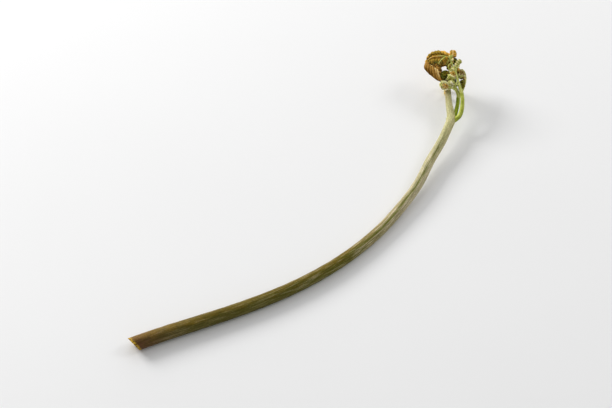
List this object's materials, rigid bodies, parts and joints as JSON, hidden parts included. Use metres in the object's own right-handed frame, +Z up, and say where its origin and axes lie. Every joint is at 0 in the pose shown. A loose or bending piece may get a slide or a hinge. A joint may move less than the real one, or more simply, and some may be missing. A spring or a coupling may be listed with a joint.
{
  "type": "cut bracken shoot with curled croziers",
  "caption": "A cut young fern shoot lying down: a long bent stipe with a leaning cut at its foot, forking into stalks that end in tightly curled leafy croziers.",
  "frame": {"origin": "on the surface that the shoot lies on, under the middle of its box", "axes": "+X from the cut foot towards the curled head, +Y towards the inner side of the bend, +Z up"},
  "size_m": [0.2285, 0.0488, 0.021],
  "materials": {
    "stipe_skin": "satin olive plant skin, browner towards the cut foot, with fine streaks",
    "pale_stalk_skin": "satin yellow-green plant skin",
    "green_stalk_skin": "satin grass-green plant skin",
    "rust_leaflets": "matt rust-brown curled leaflets with fine hairs",
    "golden_leaflets": "matt golden-brown curled leaflets with fine hairs",
    "pale_leaflets": "matt pale green curled leaflets with whitish hairs"
  },
  "bodies": {
    "root": {"stipe": "stipe_skin", "upper_pinna_stalk": "pale_stalk_skin", "lower_pinna_stalk": "green_stalk_skin", "terminal_crozier": "rust_leaflets", "upper_pinna_crozier": "golden_leaflets", "lower_pinna_crozier": "pale_leaflets"}
  },
  "joints": []
}
